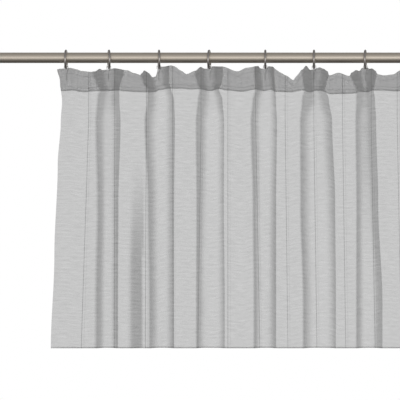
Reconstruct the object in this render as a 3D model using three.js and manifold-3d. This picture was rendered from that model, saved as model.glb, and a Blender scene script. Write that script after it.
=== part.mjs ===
// A sheer gathered curtain on a round metal rod, held off the wall by two brackets.
// Millimetres, +Z up. The origin is the centre of the left wall plate's back face:
// +X runs along the rod, +Y points into the wall, and the rod's axis is at Z = 0.

import * as THREE from 'three';
import { mergeVertices } from 'three/addons/utils/BufferGeometryUtils.js';
import Module from 'manifold-3d';

const wasm = await Module();
wasm.setup();

// Driving dimensions
const clearance = 0.3;            // gap kept between pieces that touch
const rodRadius = 10;
const rodWall = 1.2;
const rodLength = 1200;
const bracketSpan = 1140;         // between the two brackets' centres
const rodStandOff = 90;           // rod axis to wall
const ringWireRadius = 2.65;      // half the wire's depth, out from the ring's centre
const ringWireFlatness = 0.72;    // its width along the rod over its depth
const ringInnerRadius = 13.4;
const firstRingX = 157.7;
const ringGaps = [81.8, 95.4, 95.6, 106.9, 92.8, 97.7, 94, 96, 95];
const ringTurns = [-3.5, 6, 3, -7.5, -1.2, -3, -6.4, 2, -2.5, 4];   // degrees about the vertical
const endMargins = { left: 26.7, right: 18.1 };   // cloth past the first and last ring
const clothThickness = 0.6;
const clothTop = -20.8;
const curtainBottom = -553;
const foldBack = 9;               // folds reach this far behind the rod's axis, at the rings
const foldFront = 11.5;           // and this far in front of it, between them
const tapeHeight = 47;
const tapeThickness = 0.7;
const tapeCordRadius = 0.6;
const hemCordRadius = 1.2;
const hookWireRadius = 0.75;
const hookPlay = { above: 1.1, beside: 0.7 };   // round the ring's wire, so that the hook can slide along it
const screwSpacing = 30;          // between a bracket's two wall screws

// Derived places
const rodStart = (bracketSpan - rodLength) / 2;
const rodEnd = rodStart + rodLength;
const ringWireCentre = ringInnerRadius + ringWireRadius;
const ringDrop = ringInnerRadius - rodRadius - clearance;   // a ring hangs this far below the rod's axis
const ringX = ringGaps.reduce((places, gap) => [...places, places.at(-1) + gap], [firstRingX]);
const curtainLeft = ringX[0] - endMargins.left;
const curtainRight = ringX.at(-1) + endMargins.right;

const finishes = {
  nickel: new THREE.MeshStandardMaterial({ color: 0xb7ab9c, roughness: 0.35, metalness: 1 }),
  ringNickel: new THREE.MeshStandardMaterial({ color: 0x8f8b88, roughness: 0.25, metalness: 1 }),
  zincPlate: new THREE.MeshStandardMaterial({ color: 0xa9adb0, roughness: 0.45, metalness: 1 }),
  springWire: new THREE.MeshStandardMaterial({ color: 0xc6c8ca, roughness: 0.3, metalness: 1 }),
  voile: new THREE.MeshStandardMaterial({ color: 0xc8c8c8, roughness: 0.95, metalness: 0 }),
  tape: new THREE.MeshStandardMaterial({ color: 0xe6e6e4, roughness: 0.9, metalness: 0 }),
  cord: new THREE.MeshStandardMaterial({ color: 0xf2f2f0, roughness: 0.9, metalness: 0 }),
};

const curtainOnRod = new THREE.Group();

function addPiece(name, geometry, finish, parent = curtainOnRod) {
  const piece = new THREE.Mesh(geometry, finishes[finish].clone());
  piece.name = name;
  parent.add(piece);
  return piece;
}

// Turned pieces: [radius, distance along the axis] pairs, turned about +X or about -Y (out of the wall)
function turned(profile, sides) {
  return new THREE.LatheGeometry(profile.map(([r, along]) => new THREE.Vector2(r, along)), sides);
}
const alongRod = (geometry) => geometry.rotateZ(-Math.PI / 2);
const outOfWall = (geometry) => geometry.rotateZ(Math.PI);

function closed(profile) {
  return [...profile, profile[0]];
}

// Booleans on closed geometries
function toManifold(geometry) {
  const plain = geometry.clone();
  plain.deleteAttribute('normal');
  plain.deleteAttribute('uv');
  const merged = mergeVertices(plain);
  return new wasm.Manifold(new wasm.Mesh({
    numProp: 3,
    vertProperties: new Float32Array(merged.attributes.position.array),
    triVerts: new Uint32Array(merged.index.array),
  }));
}

function cut(geometry, cutter) {
  const result = toManifold(geometry).subtract(toManifold(cutter)).getMesh();
  const cutGeometry = new THREE.BufferGeometry();
  cutGeometry.setAttribute('position', new THREE.BufferAttribute(result.vertProperties, 3));
  cutGeometry.setIndex(new THREE.BufferAttribute(result.triVerts, 1));
  return cutGeometry;
}

// Rod: a thin tube with a plugged-in end piece at each end
function addRod() {
  const bore = rodRadius - rodWall;
  const tube = turned(closed([[bore, 0], [rodRadius, 0], [rodRadius, rodLength], [bore, rodLength]]), 32);
  addPiece('rod_tube', alongRod(tube), 'nickel').position.set(rodStart, -rodStandOff, 0);
}

function addFinial(name, x, direction) {
  const spigotRadius = rodRadius - rodWall - clearance;
  const spigotLength = 18;
  const profile = [
    [0, -spigotLength], [spigotRadius - 1, -spigotLength], [spigotRadius, 1 - spigotLength],
    [spigotRadius, clearance], [12.4, clearance], [13, 1], [13, 5.4], [12, 6.4], [10.6, 7],
    [10.6, 9], [13.4, 10], [14, 11], [14, 34], [13.2, 36], [11, 37.2], [0, 37.6],
  ];
  const finial = addPiece(name, alongRod(turned(profile, 18)), 'nickel');
  finial.rotation.z = direction > 0 ? 0 : Math.PI;
  finial.position.set(x, -rodStandOff, 0);
}

// Brackets: wall plate, cover, arm, cradle, clamp screw and wall screws
const plate = { radius: 22, thickness: 4 };
const arm = { radius: 5, flangeRadius: 9, flangeThickness: 3 };
const cradle = { inner: rodRadius + clearance, wall: 4, width: 16, lip: 7 };
const cradleOuter = cradle.inner + cradle.wall;

function wallPlate() {
  const outline = new THREE.Shape().absarc(0, 0, plate.radius, 0, 2 * Math.PI);
  for (const side of [-1, 1]) {
    outline.holes.push(new THREE.Path().absarc(0, side * screwSpacing / 2, 2.4, 0, 2 * Math.PI));
  }
  const disc = new THREE.ExtrudeGeometry(outline, {
    depth: plate.thickness, bevelEnabled: false, curveSegments: 16,
  });
  return disc.rotateX(Math.PI / 2);
}

function plateCover() {
  const outer = 25;
  const skin = 1.6;
  const depth = 12;
  const hole = arm.radius + clearance;
  const rim = 0.5;
  return outOfWall(turned(closed([
    [hole, depth], [hole, depth - skin], [outer - skin, depth - skin], [outer - skin, rim],
    [outer, rim], [outer, depth - 3], [outer - 1, depth - 1], [outer - 3, depth],
  ]), 24));
}

function bracketArm() {
  const foot = plate.thickness + clearance;
  const shoulder = foot + arm.flangeThickness;
  const tip = rodStandOff - cradleOuter - clearance;
  return outOfWall(turned([
    [0, foot], [arm.flangeRadius, foot], [arm.flangeRadius, shoulder], [arm.radius, shoulder],
    [arm.radius, tip - 4], [7, tip - 3], [7, tip], [0, tip],
  ], 20));
}

function rodCradle() {
  const backFoot = -Math.PI / 6;
  const outline = new THREE.Shape();
  outline.moveTo(-cradleOuter, cradle.lip);
  outline.lineTo(-cradleOuter, 0);
  outline.absarc(0, 0, cradleOuter, Math.PI, 2 * Math.PI + backFoot, false);
  outline.lineTo(cradleOuter, cradleOuter * Math.sin(backFoot));
  outline.lineTo(cradleOuter, cradle.lip);
  outline.lineTo(cradle.inner, cradle.lip);
  outline.lineTo(cradle.inner, 0);
  outline.absarc(0, 0, cradle.inner, 0, -Math.PI, true);
  outline.lineTo(-cradle.inner, cradle.lip);
  const cup = new THREE.ExtrudeGeometry(outline, {
    depth: cradle.width, bevelEnabled: false, curveSegments: 14,
  });
  cup.translate(0, 0, -cradle.width / 2);
  const screwHole = new THREE.CylinderGeometry(2.3, 2.3, 12, 16).translate(0, -cradleOuter + 2, 0);
  return cut(cup, screwHole).rotateX(Math.PI / 2).rotateZ(Math.PI / 2);
}

function clampScrew() {
  const tip = -rodRadius - clearance;
  const head = -cradleOuter - clearance;
  return turned([
    [0, head - 6], [5.2, head - 6], [6, head - 5.2], [6, head - 0.8],
    [5.2, head], [2, head], [2, tip], [0, tip],
  ], 16).rotateX(Math.PI / 2);
}

function wallScrew() {
  const seat = plate.thickness + clearance;
  return outOfWall(turned([
    [0, clearance], [2, clearance], [2, seat], [3.8, seat],
    [3.8, seat + 1.2], [2.6, seat + 2.4], [0, seat + 2.6],
  ], 12));
}

function addBracket(side, x) {
  addPiece(`${side}_wall_plate`, wallPlate(), 'zincPlate').position.x = x;
  addPiece(`${side}_plate_cover`, plateCover(), 'nickel').position.x = x;
  addPiece(`${side}_bracket_arm`, bracketArm(), 'nickel').position.x = x;
  addPiece(`${side}_rod_cradle`, rodCradle(), 'nickel').position.set(x, -rodStandOff, 0);
  addPiece(`${side}_clamp_screw`, clampScrew(), 'nickel').position.set(x, -rodStandOff, 0);
  addPiece(`${side}_wall_screw_upper`, wallScrew(), 'zincPlate').position.set(x, 0, screwSpacing / 2);
  addPiece(`${side}_wall_screw_lower`, wallScrew(), 'zincPlate').position.set(x, 0, -screwSpacing / 2);
}

// A wire or cord: a many-sided section swept along a smooth curve
function swept(points, radius, sides, steps) {
  const section = new THREE.Shape();
  for (let i = 0; i < sides; i++) {
    const angle = 2 * Math.PI * i / sides;
    const corner = [radius * Math.cos(angle), radius * Math.sin(angle)];
    if (i === 0) section.moveTo(...corner);
    else section.lineTo(...corner);
  }
  section.closePath();
  const path = new THREE.CatmullRomCurve3(points.map((p) => new THREE.Vector3(...p)), false, 'centripetal');
  return new THREE.ExtrudeGeometry(section, { extrudePath: path, steps, bevelEnabled: false });
}

// Ring: a round ring of oval wire.
// Hook: a loop over the ring's wire, then down behind the heading and up into the tape
function curtainRing() {
  const ring = new THREE.TorusGeometry(ringWireCentre, ringWireRadius, 8, 20).scale(1, 1, ringWireFlatness);
  return ring.rotateY(Math.PI / 2).translate(0, 0, -ringDrop);
}

function curtainHook() {
  const loopY = 3.3;
  const loopZ = -ringDrop - Math.sqrt(ringWireCentre ** 2 - loopY ** 2);
  const side = ringWireRadius * ringWireFlatness + hookPlay.beside + hookWireRadius;
  const rise = ringWireRadius + hookPlay.above + hookWireRadius;
  const shoulder = { out: side * 0.82, up: rise * 0.78 };
  const shankY = foldBack + 5.6;
  const prongY = foldBack + 3;
  const bend = loopZ - 24;
  return swept([
    [-side, loopY, loopZ - 2], [-side, loopY, loopZ], [-shoulder.out, loopY, loopZ + shoulder.up],
    [0, loopY, loopZ + rise], [shoulder.out, loopY, loopZ + shoulder.up], [side, loopY + 0.4, loopZ],
    [side, loopY + 4, loopZ - 0.6], [side, prongY, loopZ - 1.4], [side / 2, shankY - 0.2, loopZ - 5],
    [0, shankY, loopZ - 12], [0, shankY - 0.2, bend + 2], [0, (shankY + prongY) / 2, bend],
    [0, prongY, bend + 2], [0, prongY, bend + 10],
  ], hookWireRadius, 5, 22);
}

function addRunner(index) {
  const runner = new THREE.Group();
  runner.position.set(ringX[index], -rodStandOff, 0);
  runner.rotation.z = THREE.MathUtils.degToRad(ringTurns[index]);
  addPiece(`ring_${index + 1}`, curtainRing(), 'ringNickel', runner);
  addPiece(`hook_${index + 1}`, curtainHook(), 'springWire', runner);
  curtainOnRod.add(runner);
}

// Curtain: one wave per ring, furthest back at the ring and furthest forward halfway to the next
function seamBetween(index) {
  return (ringX[index] + ringX[index + 1]) / 2;
}

function waveAt(x) {
  let nearest = 0;
  ringX.forEach((place, index) => {
    if (Math.abs(x - place) < Math.abs(x - ringX[nearest])) nearest = index;
  });
  const side = x < ringX[nearest] ? -1 : 1;
  const neighbour = ringX[nearest + side] ?? ringX[nearest - side];
  const halfGap = Math.abs(neighbour - ringX[nearest]) / 2;
  const swing = Math.cos(Math.PI * (x - ringX[nearest]) / halfGap);
  return (foldBack - foldFront) / 2 + (foldBack + foldFront) / 2 * swing;
}

// Points along the wave, moved off it to the wall side by a distance square to the cloth
function waveLine(stations, offset) {
  const reach = 0.5;
  return stations.map((x) => {
    const slope = (waveAt(x + reach) - waveAt(x - reach)) / (2 * reach);
    const length = Math.hypot(1, slope);
    return [x - offset * slope / length, waveAt(x) + offset / length];
  });
}

// A strip that follows the wave between two offsets and two heights
function waveStrip(stations, offsets, bottom, top) {
  const front = waveLine(stations, offsets[0]);
  const back = waveLine(stations, offsets[1]).reverse();
  const outline = new THREE.Shape([...front, ...back].map(([x, y]) => new THREE.Vector2(x, y)));
  const strip = new THREE.ExtrudeGeometry(outline, { depth: top - bottom, bevelEnabled: false });
  return strip.translate(0, -rodStandOff, bottom);
}

function waveCord(stations, offset, z, radius, sides) {
  const points = waveLine(stations, offset).map(([x, y]) => [x, y - rodStandOff, z]);
  return swept(points, radius, sides, 90);
}

function stationsBetween(from, to) {
  const steps = 12;
  return Array.from({ length: steps + 1 }, (unused, i) => from + (to - from) * i / steps);
}

// The cloth is cut into one section per ring, so that each section rides with its ring
function addCurtain() {
  const half = clothThickness / 2;
  const seamGap = 0.2;
  const clothBottom = curtainBottom + 2 * hemCordRadius + clearance;
  const sections = ringX.map((place, index) => stationsBetween(
    index === 0 ? curtainLeft : seamBetween(index - 1) + seamGap,
    index === ringX.length - 1 ? curtainRight : seamBetween(index) - seamGap,
  ));
  sections.forEach((stations, index) => {
    const strip = waveStrip(stations, [-half, half], clothBottom, clothTop);
    addPiece(`cloth_section_${index + 1}`, strip, 'voile');
  });
  const wholeWidth = sections.flat();
  const tapeFront = half + clearance;
  const tapeBack = tapeFront + tapeThickness;
  const tapeTop = clothTop - 2.2;
  const tape = waveStrip(wholeWidth, [tapeFront, tapeBack], tapeTop - tapeHeight, tapeTop);
  addPiece('heading_tape', tape, 'tape');
  const cordOffset = tapeBack + 0.7 + tapeCordRadius;
  addPiece('tape_cord_upper', waveCord(wholeWidth, cordOffset, tapeTop - 4, tapeCordRadius, 4), 'cord');
  addPiece('tape_cord_lower', waveCord(wholeWidth, cordOffset, tapeTop - 37, tapeCordRadius, 4), 'cord');
  const hemCord = waveCord(wholeWidth, 0, curtainBottom + hemCordRadius, hemCordRadius, 5);
  addPiece('hem_weight_cord', hemCord, 'cord');
}

addRod();
addFinial('left_finial', rodStart, -1);
addFinial('right_finial', rodEnd, 1);
addBracket('left', 0);
addBracket('right', bracketSpan);
ringX.forEach((place, index) => addRunner(index));
addCurtain();

export default curtainOnRod;
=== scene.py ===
import math

import bpy
from mathutils import Matrix, Vector


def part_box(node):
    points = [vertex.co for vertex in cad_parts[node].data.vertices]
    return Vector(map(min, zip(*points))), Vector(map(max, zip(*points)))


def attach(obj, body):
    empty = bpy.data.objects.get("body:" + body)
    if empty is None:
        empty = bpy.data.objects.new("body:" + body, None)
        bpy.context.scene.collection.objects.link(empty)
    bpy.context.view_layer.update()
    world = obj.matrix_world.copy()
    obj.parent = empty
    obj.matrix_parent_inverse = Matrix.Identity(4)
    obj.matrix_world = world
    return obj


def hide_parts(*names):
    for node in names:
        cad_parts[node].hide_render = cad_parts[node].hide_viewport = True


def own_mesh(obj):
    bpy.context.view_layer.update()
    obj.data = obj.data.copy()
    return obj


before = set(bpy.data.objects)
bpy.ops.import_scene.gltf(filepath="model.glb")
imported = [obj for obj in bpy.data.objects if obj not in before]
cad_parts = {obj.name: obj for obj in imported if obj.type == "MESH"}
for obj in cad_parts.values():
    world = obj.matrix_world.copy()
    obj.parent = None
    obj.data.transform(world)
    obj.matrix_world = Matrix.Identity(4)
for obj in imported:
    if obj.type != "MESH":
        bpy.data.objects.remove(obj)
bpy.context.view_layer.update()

mm = 0.001


def smooth(t):
    t = min(max(t, 0.0), 1.0)
    return t * t * (3 - 2 * t)


def mix(a, b, t):
    return a + (b - a) * t


def nodeMiddle(name):
    low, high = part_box(name)
    return (Vector(low) + Vector(high)) / 2


def hexColour(code):
    # sRGB hex to linear
    channels = [int(code[i:i + 2], 16) / 255 for i in (0, 2, 4)]
    linear = [c / 12.92 if c <= 0.04045 else ((c + 0.055) / 1.055) ** 2.4 for c in channels]
    return (*linear, 1.0)


def addNode(tree, kind, settings=None, links=None):
    # settings go to properties or sockets by name, links to sockets from (node, output)
    node = tree.nodes.new(kind)
    for key, value in (settings or {}).items():
        if isinstance(key, str) and hasattr(node, key):
            setattr(node, key, value)
        else:
            node.inputs[key].default_value = value
    for key, (source, output) in (links or {}).items():
        tree.links.new(source.outputs[output], node.inputs[key])
    return node


def newMaterial(name):
    material = bpy.data.materials.new(name)
    material.use_nodes = True
    tree = material.node_tree
    tree.nodes.clear()
    return material, tree


def finishMaterial(tree, shader):
    addNode(tree, "ShaderNodeOutputMaterial", {}, {"Surface": (shader, 0)})


def meshPiece(name, points, faces, uvs=None):
    mesh = bpy.data.meshes.new(name)
    mesh.from_pydata(points, [], faces)
    if uvs:
        layer = mesh.uv_layers.new(name="cloth")
        for loop in mesh.loops:
            layer.data[loop.index].uv = uvs[loop.vertex_index]
    mesh.polygons.foreach_set("use_smooth", [True] * len(mesh.polygons))
    mesh.update()
    piece = bpy.data.objects.new(name, mesh)
    bpy.context.scene.collection.objects.link(piece)
    return piece


def clearSelection():
    if bpy.context.object and bpy.context.object.mode != "OBJECT":
        bpy.ops.object.mode_set(mode="OBJECT")
    bpy.ops.object.select_all(action="DESELECT")


def settle(piece, material, body, replaced=()):
    # place baked into the mesh, object at the origin, finish, body
    clearSelection()
    piece.select_set(True)
    bpy.context.view_layer.objects.active = piece
    bpy.ops.object.transform_apply(location=True, rotation=True, scale=True)
    piece.data.materials.clear()
    piece.data.materials.append(material)
    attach(piece, body)
    if replaced:
        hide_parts(*replaced)
    return piece


ringCount = 10
ringPlaces = [nodeMiddle(f"ring_{n}").x / mm for n in range(1, ringCount + 1)]   # mm
rodMiddle = nodeMiddle("rod_tube")
rodY = rodMiddle.y
rodRadius = (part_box("rod_tube")[1][2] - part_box("rod_tube")[0][2]) / 2
bodyOfRing = {n: "end_ring" if n == 1 else f"runner_{n}" for n in range(1, ringCount + 1)}
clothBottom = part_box("hem_weight_cord")[0][2] / mm


def satinNickel():
    # nickel plate brushed along the rod: broad soft highlight, warm tint, fine lengthwise grain
    material, tree = newMaterial("brushedNickelPlate")
    place = addNode(tree, "ShaderNodeTexCoord")
    grain = addNode(tree, "ShaderNodeMapping", {"Scale": (6, 900, 900)}, {"Vector": (place, "Object")})
    brush = addNode(tree, "ShaderNodeTexNoise", {"Scale": 1.0, "Detail": 3.0}, {"Vector": (grain, 0)})
    rough = addNode(tree, "ShaderNodeMapRange", {"To Min": 0.36, "To Max": 0.46}, {"Value": (brush, 0)})
    tone = addNode(tree, "ShaderNodeMix", {"data_type": "RGBA"}, {0: (brush, 0)})
    tone.inputs[6].default_value = hexColour("cfc5b7")
    tone.inputs[7].default_value = hexColour("d8cec1")
    bump = addNode(tree, "ShaderNodeBump", {"Strength": 0.05, "Distance": 0.0002}, {"Height": (brush, 0)})
    shader = addNode(tree, "ShaderNodeBsdfPrincipled", {"Metallic": 1.0},
                     {"Base Color": (tone, 2), "Roughness": (rough, 0), "Normal": (bump, 0)})
    finishMaterial(tree, shader)
    return material


def ringNickel():
    # polished dark nickel plate on wire: small sharp reflections with a few tumbling marks
    material, tree = newMaterial("polishedNickelPlate")
    place = addNode(tree, "ShaderNodeTexCoord")
    marks = addNode(tree, "ShaderNodeTexNoise", {"Scale": 700.0, "Detail": 2.0},
                    {"Vector": (place, "Object")})
    rough = addNode(tree, "ShaderNodeMapRange", {"To Min": 0.1, "To Max": 0.2}, {"Value": (marks, 0)})
    shader = addNode(tree, "ShaderNodeBsdfPrincipled",
                     {"Metallic": 1.0, "Base Color": hexColour("a5a09c")}, {"Roughness": (rough, 0)})
    finishMaterial(tree, shader)
    return material


def zincPlate():
    # bright zinc plate on pressed steel: cool grey with a faint patchy crystal tone
    material, tree = newMaterial("brightZincPlate")
    place = addNode(tree, "ShaderNodeTexCoord")
    patches = addNode(tree, "ShaderNodeTexVoronoi", {"Scale": 420.0}, {"Vector": (place, "Object")})
    tone = addNode(tree, "ShaderNodeMix", {"data_type": "RGBA"}, {0: (patches, "Distance")})
    tone.inputs[6].default_value = hexColour("aeb3b8")
    tone.inputs[7].default_value = hexColour("c3c6c6")
    rough = addNode(tree, "ShaderNodeMapRange", {"To Min": 0.34, "To Max": 0.5},
                    {"Value": (patches, "Distance")})
    shader = addNode(tree, "ShaderNodeBsdfPrincipled", {"Metallic": 1.0},
                     {"Base Color": (tone, 2), "Roughness": (rough, 0)})
    finishMaterial(tree, shader)
    return material


def coatedWire():
    # spring wire dipped in white nylon: soft sheen over slight runs, hardly seen against a pale wall
    material, tree = newMaterial("whiteCoatedWire")
    place = addNode(tree, "ShaderNodeTexCoord")
    runs = addNode(tree, "ShaderNodeTexNoise", {"Scale": 420.0, "Detail": 2.0}, {"Vector": (place, "Object")})
    rough = addNode(tree, "ShaderNodeMapRange", {"To Min": 0.32, "To Max": 0.5}, {"Value": (runs, 0)})
    bump = addNode(tree, "ShaderNodeBump", {"Strength": 0.2, "Distance": 0.0001}, {"Height": (runs, 0)})
    shader = addNode(tree, "ShaderNodeBsdfPrincipled", {"Base Color": hexColour("f0f0ee"), "IOR": 1.53},
                     {"Roughness": (rough, 0), "Normal": (bump, 0)})
    finishMaterial(tree, shader)
    return material


# Sheer voile: plain weave open enough to see through, with pairs of thicker warp threads; painted shade
# makes it close more of the view in the fold walls, where they turn away from the room
voile = {
    "yarn": "989898",
    "openCover": 0.535,       # share of the view that the threads close on flat cloth
    "fullShadeCover": 0.82,       # and at full painted shade, in the fold walls
    "stripeSpacing": 0.0533,
    "stripeWidth": 0.9,       # mm
    "weftPitch": 0.0024,
}


def voileMaterial(name, look):
    material, tree = newMaterial(name)
    cloth = addNode(tree, "ShaderNodeUVMap", {"uv_map": "cloth"})
    along = addNode(tree, "ShaderNodeSeparateXYZ", {}, {0: (cloth, 0)})
    # one thicker warp thread in each repeat, with a fainter one beside it
    halfTurn = {"operation": "MULTIPLY_ADD", 1: 1 / look["stripeSpacing"], 2: 0.5}
    turns = addNode(tree, "ShaderNodeMath", halfTurn, {0: (along, 0)})
    repeat = addNode(tree, "ShaderNodeMath", {"operation": "FRACT"}, {0: (turns, 0)})
    dark = None
    for middle, strength in ((0.5, 1.0), (0.5 + 0.004 / look["stripeSpacing"], 0.3)):
        away = addNode(tree, "ShaderNodeMath", {"operation": "SUBTRACT", 1: middle}, {0: (repeat, 0)})
        gap = addNode(tree, "ShaderNodeMath", {"operation": "ABSOLUTE"}, {0: (away, 0)})
        half = look["stripeWidth"] * mm / 2 / look["stripeSpacing"]
        line = addNode(tree, "ShaderNodeMapRange", {"From Min": half * 0.8, "From Max": half * 1.4,
                                                    "To Min": strength, "To Max": 0.0}, {"Value": (gap, 0)})
        if dark:
            dark = addNode(tree, "ShaderNodeMath", {"operation": "MAXIMUM"}, {0: (dark, 0), 1: (line, 0)})
        else:
            dark = line
    # weft ribs and slubs
    slubPlace = addNode(tree, "ShaderNodeVectorMath", {"operation": "MULTIPLY",
                                                       1: (60, 1 / look["weftPitch"], 1)},
                        {0: (cloth, 0)})
    slubs = addNode(tree, "ShaderNodeTexNoise", {"Scale": 1.0, "Detail": 2.0}, {"Vector": (slubPlace, 0)})
    ribs = addNode(tree, "ShaderNodeMapRange", {"From Min": 0.3, "From Max": 0.7, "To Min": -0.05,
                                                "To Max": 0.05},
                   {"Value": (slubs, 0)})
    # the loom beats the weft a little closer every few millimetres
    beats = addNode(tree, "ShaderNodeTexWave", {"bands_direction": "Y", "Scale": 38.0, "Distortion": 1.6,
                                                "Detail": 1.0, "Detail Scale": 1.2}, {"Vector": (cloth, 0)})
    ribs = addNode(tree, "ShaderNodeMath", {"operation": "MULTIPLY_ADD", 1: 0.025},
                   {0: (beats, 1), 2: (ribs, 0)})
    # painted shade: the cover rises where the cloth turns away, darkening fold walls and creases
    coverAndPaintedShade = addNode(tree, "ShaderNodeAttribute", {"attribute_name": "coverAndPaintedShade"})
    cover = addNode(tree, "ShaderNodeMapRange",
                    {"clamp": False, "To Min": look["openCover"], "To Max": look["fullShadeCover"]},
                    {"Value": (coverAndPaintedShade, "Fac")})
    ribbed = addNode(tree, "ShaderNodeMath", {"operation": "ADD"}, {0: (cover, 0), 1: (ribs, 0)})
    stripeCover = addNode(tree, "ShaderNodeMapRange", {"To Min": 0.22, "To Max": 0.05},
                          {"Value": (coverAndPaintedShade, "Fac")})
    striped = addNode(tree, "ShaderNodeMath", {"operation": "MULTIPLY_ADD", "use_clamp": True},
                      {0: (dark, 0), 1: (stripeCover, 0), 2: (ribbed, 0)})
    tone = addNode(tree, "ShaderNodeMix", {"data_type": "RGBA"}, {0: (dark, 0)})
    tone.inputs[6].default_value = hexColour(look["yarn"])
    tone.inputs[7].default_value = hexColour("747474")
    bump = addNode(tree, "ShaderNodeBump", {"Strength": 0.15, "Distance": 0.0003}, {"Height": (slubs, 0)})
    shader = addNode(tree, "ShaderNodeBsdfPrincipled", {"Roughness": 0.9, "Specular IOR Level": 0.2},
                     {"Base Color": (tone, 2), "Alpha": (striped, 0), "Normal": (bump, 0)})
    finishMaterial(tree, shader)
    return material


def plainCord():
    # braided polyester: matt white with the braid's crossing ridges, with painted shade in the hollows
    # between them
    material, tree = newMaterial("braidedPolyester")
    place = addNode(tree, "ShaderNodeTexCoord")
    braid = addNode(tree, "ShaderNodeTexWave", {"Scale": 420.0, "Distortion": 2.0},
                    {"Vector": (place, "Object")})
    # painted shade: darker where the braid's bump is low
    tone = addNode(tree, "ShaderNodeMix", {"data_type": "RGBA"}, {0: (braid, 1)})
    tone.inputs[6].default_value = hexColour("d9d9d7")
    tone.inputs[7].default_value = hexColour("f0f0ee")
    bump = addNode(tree, "ShaderNodeBump", {"Strength": 0.4, "Distance": 0.0002}, {"Height": (braid, 1)})
    shader = addNode(tree, "ShaderNodeBsdfPrincipled", {"Roughness": 0.8},
                     {"Base Color": (tone, 2), "Normal": (bump, 0)})
    finishMaterial(tree, shader)
    return material


print("materials")
nickel = satinNickel()
darkNickel = ringNickel()
zinc = zincPlate()
whiteWire = coatedWire()
voileCloth = voileMaterial("sheerVoile", voile)
tapeLook = {**voile, "openCover": 0.04, "fullShadeCover": 0.08, "stripeSpacing": 0.012, "stripeWidth": 1.6,
            "yarn": "bdbdbd"}
tapeCloth = voileMaterial("sheerHeadingTape", tapeLook)
whiteCord = plainCord()


# Heights, in mm from the rod's axis, at which a fold's outline is given
levels = (-30, -48, -60, -80, -121, -277, -467)
stitchLevel = -63
bellyLevel = -121
panelFront = -9.0      # mm, the flat panels' place in front of the rod's axis

# Each fold hangs below its ring. left and right are its reach either side of the ring at those heights.
# light holds the shares of its width between which it faces the room, at the heading, below the stitching,
# at the belly and low down. soft is how gently it turns there, shade how far even its middle turns away at
# those four heights, and depth how far it goes back from the panels.
# How far the cloth turns away is also painted into its cover as shade.
folds = {
    2: {"left": (28.6, 21.3, 15.6, 19.6, 22.7, 19.4, 22.5),
        "right": (28.4, 22.7, 19.9, 20.2, 22.3, 18.3, 17.6),
        "light": ((-0.33, 0.33), (-0.36, 0.27), (-0.5, 0.46), (-0.5, 0.52)),
        "soft": 0.6, "shade": (0.1, 0.35, 0.12, 0), "depth": 17},
    3: {"left": (33.3, 28.6, 20.2, 20.6, 25.6, 19, 16.8), "right": (19.4, 19, 23.2, 28.6, 30.1, 28.6, 28.6),
        "light": ((-0.22, 0.6), (-0.45, 0.6), (-0.53, 0.6), (-0.55, 0.6)),
        "soft": 0.7, "shade": (0.02, 0, 0, 0), "depth": 18},
    4: {"left": (25.3, 21.1, 16, 20, 24, 22.7, 23.4), "right": (25.9, 24, 18.5, 25.2, 28.3, 27.8, 29.4),
        "light": ((-0.3, 0.3), (-0.25, 0.55), (-0.43, 0.78), (-0.65, 0.78)),
        "soft": 0.65, "shade": (0.05, 0.12, 0, 0), "depth": 18},
    5: {"left": (18.9, 17.1, 16.4, 22.4, 26, 22, 20.2), "right": (16.6, 18.1, 18.9, 20, 21.9, 20.4, 20.4),
        "light": ((-0.45, 0.55), (-0.48, 0.72), (-0.55, 0.7), (-0.66, 0.56)),
        "soft": 0.7, "shade": (0.08, 0.08, 0, 0), "depth": 17},
    6: {"left": (21.1, 19.4, 17.1, 21.4, 25.3, 24.8, 19.6), "right": (28, 23.8, 20.8, 28, 34.3, 40, 41.3),
        "light": ((-0.2, 0.4), (-0.1, 0.3), (-0.6, 0.6), (-0.66, 0.75)),
        "soft": 0.65, "shade": (0.2, 0.15, 0.06, 0), "depth": 19},
    7: {"left": (29.9, 21.5, 15.4, 16, 17.4, 16, 16.4), "right": (21.3, 18.3, 15.2, 18.1, 20.2, 24.2, 32.2),
        "light": ((-0.15, 0.18), (-0.32, 0.12), (-0.58, 0.2), (-0.62, 0.5)),
        "soft": 0.55, "shade": (0.05, 0.6, 0.42, 0), "depth": 17},
    8: {"left": (26, 21, 16, 21, 25, 23, 24), "right": (24, 20, 17, 21, 23, 21, 22),
        "light": ((-0.3, 0.35), (-0.35, 0.4), (-0.45, 0.5), (-0.45, 0.55)),
        "soft": 0.5, "shade": (0.2, 0.2, 0.05, 0), "depth": 17},
    9: {"left": (24, 20, 16, 22, 26, 24, 22), "right": (26, 22, 18, 23, 25, 26, 28),
        "light": ((-0.4, 0.4), (-0.4, 0.5), (-0.5, 0.6), (-0.5, 0.6)),
        "soft": 0.5, "shade": (0.25, 0.2, 0.05, 0), "depth": 18},
    10: {"left": (22, 19, 16, 18, 21, 19, 18), "right": (14.5, 14, 13, 14, 14.5, 14, 14),
         "light": ((-0.35, 0.35), (-0.35, 0.4), (-0.4, 0.5), (-0.4, 0.5)),
         "soft": 0.5, "shade": (0.3, 0.2, 0.05, 0), "depth": 15},
}

# A soft crease in the panel left of the third fold, which starts under the belly and deepens downwards; its
# turn is painted into the cloth as shade
crease = {"ring": 3, "edge": -31.5, "width": 29, "start": -140, "full": -420, "depth": 7}

# The curtain's side edges, in mm from the first and the last ring
edgeLeft = ((-20, -17.1), (-45, -11.4), (-84, -7.4), (-122, -9.6), (-204, -15.4), (-376, -21.8),
            (-553, -28.5))
edgeRight = ((-20, 18.5), (-64, 16.5), (-125, 19.0), (-553, 17.5))

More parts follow.
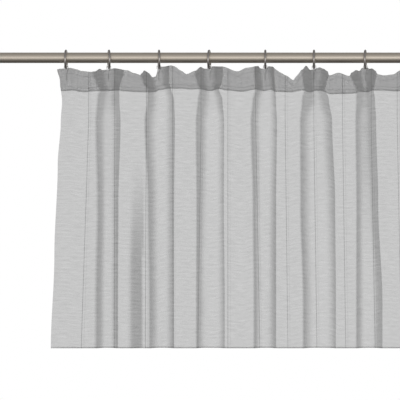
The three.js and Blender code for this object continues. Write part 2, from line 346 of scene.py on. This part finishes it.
# Upper edge of the heading by ring: (mm from the ring, height); between the rings it stands free in a ruffle
ruffle = {
    1: ((-17, -22.3), (-11, -20.4), (0, -19.6), (8, -18.5), (21, -21.3), (29, -24.8), (48, -26.7)),
    2: ((-26.5, -25.7), (-17, -20.4), (-13, -22.9), (0, -21.3), (10, -19.4), (35, -23.6), (48, -29)),
    3: ((-35, -32.4), (-32.4, -29), (-28, -23.6), (-23, -26.2), (-19, -29), (-13.3, -36.4), (-6.7, -35),
        (-3, -27),
        (-1.9, -17), (8, -16.4), (24.4, -14.3), (29.7, -16.4), (42, -24.2)),
    4: ((-43.4, -30.9), (-27, -24.8), (-16, -17), (-9.3, -20), (0, -20.4), (5.9, -15.6), (24, -16.4)),
    5: ((-53, -25.7), (-35.2, -18.7), (-13.3, -15.4), (-9.7, -19.6), (0, -20.8), (6, -15.6), (13.3, -16.4),
        (20.6, -22.5), (28, -27.8)),
    6: ((-52.8, -33.9), (-41.1, -42.5), (-33.3, -33.9), (-23.6, -23), (-15, -14.9), (-7.2, -22.5), (0, -21.3),
        (11, -17.5), (18.3, -20.6), (25.5, -25.3), (28.6, -33.3)),
    7: ((-51.4, -28.4), (-31.4, -34.5), (-25.9, -27.8), (-17.5, -23), (-10.3, -24.8), (-7.2, -18.7),
        (4.4, -18.1),
        (6.9, -20.6), (12.8, -20), (18.9, -24.2), (22.7, -31.4), (36, -33.3)),
    8: ((-42, -31.6), (-28, -24), (-14, -18), (0, -20.8), (9, -16.5), (22, -18.5), (40, -28)),
    9: ((-38, -30), (-20, -21), (-9, -22.6), (0, -20.6), (8, -17.4), (24, -16), (36, -23)),
    10: ((-36, -31), (-22, -25), (-12, -18.6), (0, -20.6), (7, -17.6), (18.5, -21)),
}

# Stitching along the heading's lower edge, given in the same way
stitching = {
    1: ((-6.7, -63.2), (13.3, -62.3), (27.8, -65.2), (37.5, -66.3)),
    2: ((-34.5, -64.2), (-15, -63.2), (4, -63.2), (18, -62.3), (29, -64.2)),
    3: ((-44, -65.5), (-20, -66.1), (-6.7, -65), (-0.6, -61.9), (20, -58.9), (42, -59.4)),
    4: ((-35.4, -60.6), (-19.4, -60), (3.4, -63.2), (19.2, -59.4), (32, -62.5)),
    5: ((-43.8, -65), (-18.3, -60.6), (-1.3, -63.2), (10.9, -60.6), (18.5, -65.2)),
    6: ((-45.7, -66.1), (-21, -62.5), (-7.6, -66.1), (3.8, -62.8), (13.3, -62.5), (28, -69.7)),
    7: ((-33.3, -69), (-16.2, -68), (-13.9, -65), (4.4, -65.5), (15.2, -62.5), (33.7, -62.9)),
    8: ((-35, -64.5), (-14, -62), (3, -64.6), (17, -62)),
    9: ((-37, -65.5), (-15, -63), (4, -65), (19, -62.4)),
    10: ((-36, -65), (-15, -62.6), (2, -64.4), (18, -63)),
}


def throughPoints(points, at):
    # a smooth line through (place, value) points
    ordered = sorted(points)
    if at <= ordered[0][0]:
        return ordered[0][1]
    for (a, va), (b, vb) in zip(ordered, ordered[1:]):
        if at <= b:
            return mix(va, vb, smooth((at - a) / (b - a)))
    return ordered[-1][1]


def acrossCurtain(line):
    return sorted((ringPlaces[n - 1] + away, height) for n, points in line.items() for away, height in points)


ruffleLine = acrossCurtain(ruffle)
stitchLine = acrossCurtain(stitching)


def atHeights(values, heights, z):
    # a value at height z from the values at the given heights, highest first
    if z >= heights[0]:
        return values[0]
    for (high, a), (low, b) in zip(zip(heights, values), zip(heights[1:], values[1:])):
        if z >= low:
            return mix(a, b, smooth((high - z) / (high - low)))
    return values[-1]


def knotsAt(z):
    # places across the curtain at height z: left edge, then each fold's left and right, right edge
    places = [ringPlaces[0] + throughPoints(edgeLeft, z)]
    for n in range(2, ringCount + 1):
        places.append(ringPlaces[n - 1] - atHeights(folds[n]["left"], levels, z))
        places.append(ringPlaces[n - 1] + atHeights(folds[n]["right"], levels, z))
    places[-1] = min(places[-1], ringPlaces[-1] + throughPoints(edgeRight, z) - 2)
    places.append(ringPlaces[-1] + throughPoints(edgeRight, z))
    return places


# Columns: (segment, share of the way across it); even segments are panels, odd ones folds
panelColumns = 14
foldColumns = 34
columns = []
for segment in range(2 * ringCount - 1):
    count = foldColumns if segment % 2 else panelColumns
    for i in range(count):
        t = i / count
        if segment % 2:
            t = 0.5 - 0.5 * math.cos(math.pi * t)     # closer together at the fold's edges, where it is steep
        columns.append((segment, t))
columns.append((2 * ringCount - 2, 1.0))


lightHeights = (-50, -72, -121, -400)


def turnedAway(fold, q, z):
    # how far the cloth turns away from the room at share q across a fold: 0 facing it, 1 edge on; the same
    # value is painted into the cloth's cover as shade
    low = atHeights([pair[0] for pair in fold["light"]], lightHeights, z)
    high = atHeights([pair[1] for pair in fold["light"]], lightHeights, z)
    shade = atHeights(fold["shade"], lightHeights, z)
    soft = fold["soft"]
    wall = max(smooth((low - q) / soft + 0.5), smooth((q - high) / soft + 0.5))
    # steeper, and with more painted shade, toward the fold's outer edges
    outer = 0.1 * smooth((abs(q) - 0.75) / 0.25)
    return (shade + (0.85 - shade) * wall) + outer


def foldSection(ring, z):
    # depths across a fold: its walls go back where it turns away, and its middle lies nearly flat
    fold = folds[ring]
    steps = 40
    turns = [0.12 + turnedAway(fold, 2 * (i + 0.5) / steps - 1, z) for i in range(steps)]
    crest = min(range(steps), key=lambda i: abs(sum(turns[:i]) - sum(turns[i:])))
    rise = [sum(turns[:i]) / sum(turns[:crest]) for i in range(crest)]
    fall = [sum(turns[i:]) / sum(turns[crest:]) for i in range(crest, steps + 1)]
    below = smooth((bellyLevel - z) / 300)
    return [fold["depth"] * (0.8 + 0.2 * below) * share for share in rise + fall]


def creaseAt(x, z):
    # turn of the soft crease, painted into the cloth as shade, and its depth
    grown = smooth((crease["start"] - z) / (crease["start"] - crease["full"]))
    away = (x - ringPlaces[crease["ring"] - 1] - crease["edge"]) / crease["width"]
    if away < 0:
        turn = smooth((away + 1) / mix(0.8, 0.4, grown))
    else:
        turn = 1 - smooth(away / mix(0.3, 0.03, grown))
    hollow = smooth(away + 1) if away < 0 else 1 - smooth(away / 0.3)
    return grown * turn, grown * crease["depth"] * hollow


sections = {}


def clothPoint(segment, t, z):
    # x, y in mm at height z, and how far the cloth turns away there
    knots = knotsAt(z)
    x = mix(knots[segment], knots[segment + 1], t)
    if segment % 2 == 0:
        y = panelFront - 1.2 * math.sin(math.pi * t)
        if segment == 0:
            y += 17 * math.exp(-((x - ringPlaces[0]) / 14) ** 2) * smooth((z + 110) / 60)
        turn, hollow = creaseAt(x, z) if segment == 2 * crease["ring"] - 4 else (0, 0)
        return x, y + hollow, max(0.09, turn)
    ring = (segment + 1) // 2 + 1
    key = (ring, round(z))
    if key not in sections:
        sections[key] = foldSection(*key)
    depths = sections[key]
    place = t * (len(depths) - 1)
    step = min(int(place), len(depths) - 2)
    back = mix(depths[step], depths[step + 1], place - step)
    return x, panelFront + back, turnedAway(folds[ring], 2 * t - 1, z)


# Flat sizes of the cloth, in mm
cloth = {"heading": 47, "turning": 3, "hemTurn": 2.5, "layerGap": 1.1, "width": 1070, "length": 590}


def curtainRows():
    # (part, share along it): the turned-in raw edge, the heading's back from its stitching up, over the top
    # and down
    rows = [("turning", 0.0), ("turning", 0.6)]
    rows += [("flap", i / 12) for i in range(13)]
    rows += [("heading", i / 16) for i in range(1, 17)]
    rows += [("drop", i / 96) for i in range(1, 97)]
    rows += [("hem", 0.0), ("hem", 1.0)]
    return rows


# Places across the hung curtain, in mm, of its thicker warp threads, just under the belly and near the hem
stripes = {
    "upper": (201.5, 250.5, 311, 361, 415, 466, 519, 575, 630, 684, 739, 788, 842, 896, 950, 1004),
    "lower": (187.5, 249.5, 309, 362, 409, 466, 527, 580, 636, 690, 747, 796, 850, 904, 957, 1010),
}


def warpPlace(x, z):
    # place across the woven cloth, in mm from its side edge, of the thread hanging at x and z
    lower = min(1, max(0, (bellyLevel - z) / 420))
    places = [mix(a, b, lower) for a, b in zip(stripes["upper"], stripes["lower"])]
    spacing = voile["stripeSpacing"] / mm
    if x < places[0]:
        return spacing - 0.8 * (places[0] - x)
    for k, (a, b) in enumerate(zip(places, places[1:])):
        if x <= b:
            return spacing * (k + 1 + (x - a) / (b - a))
    return spacing * len(places) + x - places[-1]


# painted light: how much less cover the turned-back layers of turning, flap and hem get
layerShare = {"turning": 0.3, "flap": 0.3, "hem": 0.8}


def buildCurtain():
    points, uvs, turns = [], [], []
    rows = curtainRows()
    belly = [clothPoint(segment, t, bellyLevel) for segment, t in columns]
    edge = belly[0][0]
    laidFlat = sum(math.hypot(b[0] - a[0], b[1] - a[1]) for a, b in zip(belly, belly[1:]))
    print(f"the cloth measures {laidFlat:.0f} mm along its folds and {belly[-1][0] - edge:.0f} mm hung")
    for part, share in rows:
        for index, (segment, t) in enumerate(columns):
            top = throughPoints(ruffleLine, clothPoint(segment, t, levels[0])[0])
            stitch = throughPoints(stitchLine, clothPoint(segment, t, stitchLevel)[0])
            back = 0.0
            if part == "turning":
                z = stitch + cloth["turning"] * (1 - share)
                back = cloth["layerGap"] + 0.5
                down = -cloth["turning"] * (1 - share)
            elif part == "flap":
                z = mix(stitch, top - 0.4, share)
                back = cloth["layerGap"]
                down = cloth["heading"] * (1 - share)
            elif part == "heading":
                z = mix(top, stitch, share)
                down = cloth["heading"] * (1 + share)
            elif part == "drop":
                z = mix(stitch, clothBottom, share)
                down = 2 * cloth["heading"] + (stitch - clothBottom) * share
            else:
                z = clothBottom + cloth["hemTurn"] * share + 0.3
                back = 2.6
                down = 2 * cloth["heading"] + stitch - clothBottom + cloth["hemTurn"] * share
            x, y, turn = clothPoint(segment, t, z)
            points.append((x * mm, rodY + (y + back) * mm, z * mm))
            uvs.append((warpPlace(x, z) * mm, down * mm))
            # a turned-back layer gets less cover than the front: painted light that lifts the doubled
            # heading, the turning and the hem
            turns.append(turn - layerShare.get(part, 0))
    wide = len(columns)
    faces = [(r * wide + c, (r + 1) * wide + c, (r + 1) * wide + c + 1, r * wide + c + 1)
             for r in range(len(rows) - 1) for c in range(wide - 1)]
    curtain = meshPiece("voile_curtain", points, faces, uvs)
    # painted shade of the folds and creases, carried as cover
    marks = curtain.data.attributes.new("coverAndPaintedShade", "FLOAT", "POINT")
    marks.data.foreach_set("value", turns)
    return curtain


print("curtain")
curtain = buildCurtain()
settle(curtain, voileCloth, "curtain", [f"cloth_section_{n}" for n in range(1, ringCount + 1)])


# The tape was cut as a straight strip: as long as the cloth and its end folds, as wide as its widest place
headingTape = {"below": 3, "rows": 12, "behind": 2.3, "length": 1080, "wide": 44}


def buildTape():
    points, uvs = [], []
    rows = headingTape["rows"]
    for r in range(rows + 1):
        for segment, t in columns:
            top = throughPoints(ruffleLine, clothPoint(segment, t, levels[0])[0]) - headingTape["below"]
            stitch = throughPoints(stitchLine, clothPoint(segment, t, stitchLevel)[0]) + 0.5
            z = mix(top, stitch, r / rows)
            x, y, _ = clothPoint(segment, t, z)
            points.append((x * mm, rodY + (y + headingTape["behind"]) * mm, z * mm))
            uvs.append((x * mm, -z * mm))
    wide = len(columns)
    faces = [(r * wide + c, (r + 1) * wide + c, (r + 1) * wide + c + 1, r * wide + c + 1)
             for r in range(rows) for c in range(wide - 1)]
    tape = meshPiece("gathering_tape", points, faces, uvs)
    marks = tape.data.attributes.new("coverAndPaintedShade", "FLOAT", "POINT")
    marks.data.foreach_set("value", [0.3] * len(points))
    return tape


tape = buildTape()
settle(tape, tapeCloth, "curtain", ["heading_tape"])


def wirePiece(name, points, radius, sides=4):
    # a wire or cord bent along points in metres
    clearSelection()
    bpy.ops.curve.primitive_nurbs_path_add()
    wire = bpy.context.object
    wire.name = name
    wire.matrix_world = Matrix.Identity(4)
    wire.data.splines.clear()
    spline = wire.data.splines.new("BEZIER")
    spline.bezier_points.add(len(points) - 1)
    for knot, place in zip(spline.bezier_points, points):
        knot.co = place
        knot.handle_left_type = knot.handle_right_type = "AUTO"
    spline.resolution_u = 6
    wire.data.bevel_depth = radius
    wire.data.bevel_resolution = sides
    wire.data.use_fill_caps = True
    bpy.ops.object.convert(target="MESH")
    wire = bpy.context.object
    bpy.ops.object.shade_smooth()
    return wire


# Cords: how far each lies behind the cloth and in from the side edges, in mm, and its half thickness
cords = {
    "tape_cord_upper": {"behind": 3.5, "inset": 7, "radius": 0.35, "from": "ruffle", "height": -10},
    "tape_cord_lower": {"behind": 3.5, "inset": 7, "radius": 0.35, "from": "stitching", "height": 8},
    "hem_weight_cord": {"behind": 1.3, "inset": 3, "radius": 0.25, "from": "hem", "height": 1.4},
}


def buildCord(name):
    cord = cords[name]
    points = []
    for segment, t in columns[::3]:
        base = {"ruffle": throughPoints(ruffleLine, clothPoint(segment, t, levels[0])[0]),
                "stitching": throughPoints(stitchLine, clothPoint(segment, t, stitchLevel)[0]),
                "hem": clothBottom}[cord["from"]]
        z = base + cord["height"]
        x, y, _ = clothPoint(segment, t, z)
        edges = knotsAt(z)
        if edges[0] + cord["inset"] < x < edges[-1] - cord["inset"]:
            points.append((x * mm, rodY + (y + cord["behind"]) * mm, z * mm))
    return wirePiece(f"{name}_fine", points, cord["radius"] * mm, sides=1)


cordPieces = [settle(buildCord(name), whiteCord, "curtain", [name]) for name in cords]


def buildRod():
    low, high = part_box("rod_tube")
    clearSelection()
    bpy.ops.mesh.primitive_cylinder_add(vertices=96, radius=rodRadius, depth=high[0] - low[0],
                                        end_fill_type="NOTHING",
                                        location=rodMiddle, rotation=(0, math.pi / 2, 0))
    rod = bpy.context.object
    rod.name = "rod_tube_fine"
    wall = rod.modifiers.new("wall", "SOLIDIFY")
    wall.thickness = 0.0012
    wall.offset = -1
    bpy.ops.object.modifier_apply(modifier="wall")
    bpy.ops.object.shade_smooth_by_angle(angle=math.radians(40))
    return rod


ringSizes = {"wireDepth": 2.65 * mm, "middleRadius": 16.05 * mm, "flatness": 0.82}
ringTurns = (-3.5, 6, 3, -7.5, -1.2, -3, -6.4, 2, -2.5, 4)      # degrees about the vertical


def ringTurn(n):
    return Matrix.Rotation(math.radians(ringTurns[n - 1]), 4, "Z")


def buildRing(n):
    middle = nodeMiddle(f"ring_{n}")
    upright = Matrix.Rotation(math.pi / 2, 4, "Y")
    clearSelection()
    bpy.ops.mesh.primitive_torus_add(major_radius=ringSizes["middleRadius"],
                                     minor_radius=ringSizes["wireDepth"],
                                     major_segments=96, minor_segments=20)
    ring = bpy.context.object
    ring.name = f"wire_ring_{n}"
    bpy.ops.object.mode_set(mode="EDIT")
    bpy.ops.mesh.select_all(action="SELECT")
    bpy.ops.transform.resize(value=(1, 1, ringSizes["flatness"]), center_override=(0, 0, 0))
    # the butt joint where the wire's ends meet, at the side that faces the wall
    bpy.ops.mesh.select_all(action="DESELECT")
    bpy.ops.object.mode_set(mode="OBJECT")
    joint = Vector((0, ringSizes["middleRadius"], 0))
    for vertex in ring.data.vertices:
        vertex.select = abs(vertex.co.x) < 0.1 * mm and vertex.co.y > 0
    bpy.ops.object.mode_set(mode="EDIT")
    bpy.ops.transform.resize(value=(0.9, 0.9, 0.9), center_override=joint)
    bpy.ops.object.mode_set(mode="OBJECT")
    ring.matrix_world = Matrix.Translation(middle) @ ringTurn(n) @ upright
    bpy.ops.object.shade_smooth()
    return ring


# Pleat hook: over the ring's wire, down behind the heading and up into the tape, in mm from the rod's axis
# at its ring
hook = {"wire": 0.75, "side": 3.7, "rise": 4.5, "loopY": 3.3, "shankY": 14.6, "prongY": 12}


def buildHook(n):
    side, rise, y = hook["side"], hook["rise"], hook["loopY"]
    ringMiddle = nodeMiddle(f"ring_{n}").z / mm
    z = ringMiddle - math.sqrt((ringSizes["middleRadius"] / mm) ** 2 - y ** 2)
    bend = z - 24
    points = ((-side, y, z - 2), (-side, y, z), (-0.82 * side, y, z + 0.78 * rise), (0, y, z + rise),
              (0.82 * side, y, z + 0.78 * rise), (side, y + 0.4, z), (side, y + 4, z - 0.6),
              (side, hook["prongY"], z - 1.4), (side / 2, hook["shankY"] - 0.2, z - 5),
              (0, hook["shankY"], z - 12),
              (0, hook["shankY"] - 0.2, bend + 2), (0, (hook["shankY"] + hook["prongY"]) / 2, bend),
              (0, hook["prongY"], bend + 2), (0, hook["prongY"], bend + 10))
    place = Matrix.Translation((ringPlaces[n - 1] * mm, rodY, 0)) @ ringTurn(n)
    return wirePiece(f"pleat_hook_{n}", [place @ (Vector(point) * mm) for point in points], hook["wire"] * mm)


print("rod, rings and hooks")
settle(buildRod(), nickel, "rod_set", ["rod_tube"])
for n in range(1, ringCount + 1):
    settle(buildRing(n), darkNickel, bodyOfRing[n], [f"ring_{n}"])
    settle(buildHook(n), whiteWire, "curtain" if n == 1 else bodyOfRing[n], [f"hook_{n}"])


def softenEdges(piece, width, smoothUnder=35):
    clearSelection()
    piece.select_set(True)
    bpy.context.view_layer.objects.active = piece
    edges = piece.modifiers.new("edges", "BEVEL")
    edges.width = width * mm
    edges.segments = 2
    edges.limit_method = "ANGLE"
    edges.angle_limit = math.radians(30)
    bpy.ops.object.modifier_apply(modifier="edges")
    bpy.ops.object.shade_smooth_by_angle(angle=math.radians(smoothUnder))


def turnedPiece(name, profile, place, direction, sides=64, shell=False):
    # rings of (radius, distance along the axis) in mm, each extruded from the last; a shell comes round to
    # its start
    axis = Vector(direction)
    clearSelection()
    bpy.ops.mesh.primitive_circle_add(vertices=sides, radius=profile[0][0] * mm,
                                      location=Vector(place) + axis * profile[0][1] * mm,
                                      rotation=axis.to_track_quat("Z", "Y").to_euler())
    piece = bpy.context.object
    piece.name = name
    bpy.ops.object.mode_set(mode="EDIT")
    bpy.ops.mesh.select_all(action="SELECT")
    if not shell:
        bpy.ops.mesh.edge_face_add()
    rings = profile + profile[:1] if shell else profile
    for (radius, along), (nextRadius, nextAlong) in zip(rings, rings[1:]):
        bpy.ops.mesh.extrude_region_move(TRANSFORM_OT_translate={"value": axis * (nextAlong - along) * mm})
        bpy.ops.transform.resize(value=(nextRadius / radius,) * 3,
                                 center_override=Vector(place) + axis * nextAlong * mm)
    bpy.ops.mesh.select_all(action="SELECT")
    bpy.ops.mesh.remove_doubles(threshold=1e-6)
    bpy.ops.mesh.normals_make_consistent(inside=False)
    bpy.ops.object.mode_set(mode="OBJECT")
    return piece


def refinedCopy(name, node, width):
    # a CAD solid whose shape is right, its triangles joined into faces and its edges softened
    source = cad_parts[node]
    piece = bpy.data.objects.new(name, source.data.copy())
    bpy.context.scene.collection.objects.link(piece)
    clearSelection()
    piece.select_set(True)
    bpy.context.view_layer.objects.active = piece
    bpy.ops.object.mode_set(mode="EDIT")
    bpy.ops.mesh.select_all(action="SELECT")
    bpy.ops.mesh.remove_doubles(threshold=1e-6)
    bpy.ops.mesh.dissolve_limited(angle_limit=math.radians(1))
    bpy.ops.object.mode_set(mode="OBJECT")
    softenEdges(piece, width)
    return piece


# Turned profiles in mm. Finial: out from the rod's end; cover and arm: out of the wall; screw: up from
# below the rod
profiles = {
    "finial": [(7.5, -18), (8.5, -17), (8.5, 0.3), (12.4, 0.3), (12.9, 0.7), (13, 1.2), (13, 5.2),
               (12.7, 5.9),
               (12, 6.4), (10.6, 7), (10.6, 9), (12.6, 9.4), (13.6, 10.2), (14, 11.4), (14, 15), (13.6, 15.4),
               (13.6, 16.2), (14, 16.6), (14, 33), (13.8, 34.6), (13.2, 35.9), (12.2, 36.7), (10.8, 37.2),
               (5, 37.5), (0.5, 37.6)],
    "cover": [(5.3, 12), (5.3, 10.4), (22.6, 10.4), (23.4, 9.6), (23.4, 0.5), (25, 0.5), (25, 8.6),
              (24.7, 9.9),
              (24, 11), (23, 11.7), (21.6, 12), (12, 12), (11.6, 11.7), (11.2, 12)],
    "arm": [(9, 4.3), (9, 7), (8.7, 7.3), (5.6, 7.3), (5, 7.9), (5, 71), (5.4, 71.6), (6.6, 72.2), (7, 72.9),
            (7, 75.4)],
    "clampScrew": [(4.6, -20.6), (5.5, -20.3), (6, -19.7), (6, -15.5), (5.6, -14.9), (4.8, -14.6), (2, -14.6),
                   (2, -10.8), (1.6, -10.3)],
}


def knurl(piece, radius, low, high, middle):
    # grip flutes pressed into each face round a turned head
    clearSelection()
    piece.select_set(True)
    bpy.context.view_layer.objects.active = piece
    heads = [face for face in piece.data.polygons
             if low < (face.center.z - middle.z) / mm < high
             and math.hypot(face.center.x - middle.x, face.center.y - middle.y) > 0.98 * radius * mm]
    for face in piece.data.polygons:
        face.select = False
    for face in heads:
        face.select = True
    bpy.ops.object.mode_set(mode="EDIT")
    bpy.ops.mesh.select_mode(type="FACE")
    bpy.ops.mesh.inset(thickness=0.08 * mm, depth=-0.15 * mm, use_individual=True)
    bpy.ops.mesh.select_mode(type="VERT")
    bpy.ops.object.mode_set(mode="OBJECT")


def buildBracket(side):
    x = nodeMiddle(f"{side}_bracket_arm").x
    cover = turnedPiece(f"{side}_cover_cup", profiles["cover"], (x, 0, 0), (0, -1, 0), sides=96, shell=True)
    softenEdges(cover, 0.15)
    settle(cover, nickel, "rod_set", [f"{side}_plate_cover"])
    arm = turnedPiece(f"{side}_arm_bar", profiles["arm"], (x, 0, 0), (0, -1, 0))
    softenEdges(arm, 0.15)
    settle(arm, nickel, "rod_set", [f"{side}_bracket_arm"])
    cradle = refinedCopy(f"{side}_cradle_cup", f"{side}_rod_cradle", 0.5)
    settle(cradle, nickel, "rod_set", [f"{side}_rod_cradle"])
    axis = Vector((x, rodY, 0))
    screw = turnedPiece(f"{side}_knurled_screw", profiles["clampScrew"], axis, (0, 0, 1), sides=48)
    knurl(screw, 6, -19.8, -15.4, axis)
    softenEdges(screw, 0.06)
    settle(screw, nickel, f"{side}_clamp", [f"{side}_clamp_screw"])
    for node in ("wall_plate", "wall_screw_upper", "wall_screw_lower"):
        piece = refinedCopy(f"{side}_{node}_fine", f"{side}_{node}", 0.25)
        settle(piece, zinc, "rod_set", [f"{side}_{node}"])


def buildFinial(side, x, direction):
    finial = turnedPiece(f"{side}_finial_fine", profiles["finial"], (x, rodY, 0), (direction, 0, 0), sides=80)
    softenEdges(finial, 0.12)
    settle(finial, nickel, "rod_set", [f"{side}_finial"])


print("brackets and finials")
rodEnds = [corner[0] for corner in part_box("rod_tube")]
buildFinial("left", rodEnds[0], -1)
buildFinial("right", rodEnds[1], 1)
for side in ("left", "right"):
    buildBracket(side)


def buildStage():
    bpy.ops.mesh.primitive_plane_add(size=12, location=(rodMiddle.x, 0, -1.6))
    floor = bpy.context.object
    floor.name = "floor"
    material, tree = newMaterial("paleFloor")
    shader = addNode(tree, "ShaderNodeBsdfPrincipled",
                     {"Base Color": hexColour("f4f4f4"), "Roughness": 0.9,
                      "Emission Color": hexColour("ffffff"), "Emission Strength": 0.28})   # lit from under
    finishMaterial(tree, shader)
    floor.data.materials.append(material)
    floor.visible_glossy = False      # keeps the dark line along the rod's underside


def buildWorld():
    # white to the eye; as a light it is brightest level with the room and in front, and dim below
    world = bpy.data.worlds.new("studio")
    bpy.context.scene.world = world
    world.use_nodes = True
    tree = world.node_tree
    tree.nodes.clear()
    toward = addNode(tree, "ShaderNodeTexCoord")
    parts = addNode(tree, "ShaderNodeSeparateXYZ", {}, {0: (toward, "Generated")})
    rise = addNode(tree, "ShaderNodeMapRange", {"From Min": -1.0, "From Max": 1.0}, {"Value": (parts, 2)})
    ramp = addNode(tree, "ShaderNodeValToRGB", {}, {0: (rise, 0)})
    stops = ramp.color_ramp.elements
    heights = ((0.0, 0.06), (0.06, 0.12), (0.19, 0.24), (0.33, 0.42), (0.42, 0.86), (0.53, 0.97),
               (0.62, 0.64),
               (0.74, 0.46), (0.89, 0.38), (1.0, 0.36))
    while len(stops) < len(heights):
        stops.new(0.5)
    for stop, (place, level) in zip(stops, heights):
        stop.position = place
        stop.color = (level, level, level, 1)
    front = addNode(tree, "ShaderNodeMapRange", {"From Min": 1.0, "From Max": -1.0, "To Min": 0.65,
                                                 "To Max": 1.33},
                    {"Value": (parts, 1)})
    level = addNode(tree, "ShaderNodeMath", {"operation": "MULTIPLY"}, {0: (ramp, 0), 1: (front, 0)})
    rays = addNode(tree, "ShaderNodeLightPath")
    seen = addNode(tree, "ShaderNodeBackground", {"Color": (1, 1, 1, 1), "Strength": 1.0})
    fill = addNode(tree, "ShaderNodeBackground", {"Color": (1, 1, 1, 1)}, {"Strength": (level, 0)})
    both = addNode(tree, "ShaderNodeMixShader", {}, {0: (rays, "Is Camera Ray"), 1: (fill, 0), 2: (seen, 0)})
    addNode(tree, "ShaderNodeOutputWorld", {}, {"Surface": (both, 0)})


def addSoftbox(name, place, aim, size, power):
    lamp = bpy.data.lights.new(name, "AREA")
    lamp.shape = "RECTANGLE"
    lamp.size, lamp.size_y = size
    lamp.energy = power
    piece = bpy.data.objects.new(name, lamp)
    piece.location = place
    piece.rotation_euler = (Vector(aim) - Vector(place)).to_track_quat("-Z", "Y").to_euler()
    bpy.context.scene.collection.objects.link(piece)


lens = {"focal": 300.0, "sensor": 36.0, "frameWidth": 0.762, "left": 0.032, "rodFromTop": 0.1101}


def buildCamera():
    distance = lens["frameWidth"] * lens["focal"] / lens["sensor"]
    camera = bpy.data.cameras.new("camera")
    camera.lens = lens["focal"]
    camera.sensor_width = lens["sensor"]
    camera.clip_end = 50
    piece = bpy.data.objects.new("camera", camera)
    piece.location = (lens["left"] + lens["frameWidth"] / 2, rodY - distance,
                      lens["rodFromTop"] - lens["frameWidth"] / 2)
    piece.rotation_euler = (math.pi / 2, 0, 0)
    bpy.context.scene.collection.objects.link(piece)
    bpy.context.scene.camera = piece


print("stage and light")
buildStage()
buildWorld()
middle = (rodMiddle.x - 0.15, rodY, -0.25)
addSoftbox("softbox_front", (1.5, -3.0, 0.12), middle, (0.6, 0.25), 2.2)
buildCamera()
bpy.context.scene.view_settings.view_transform = "Standard"

for piece in (curtain, tape, *cordPieces):
    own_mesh(piece)
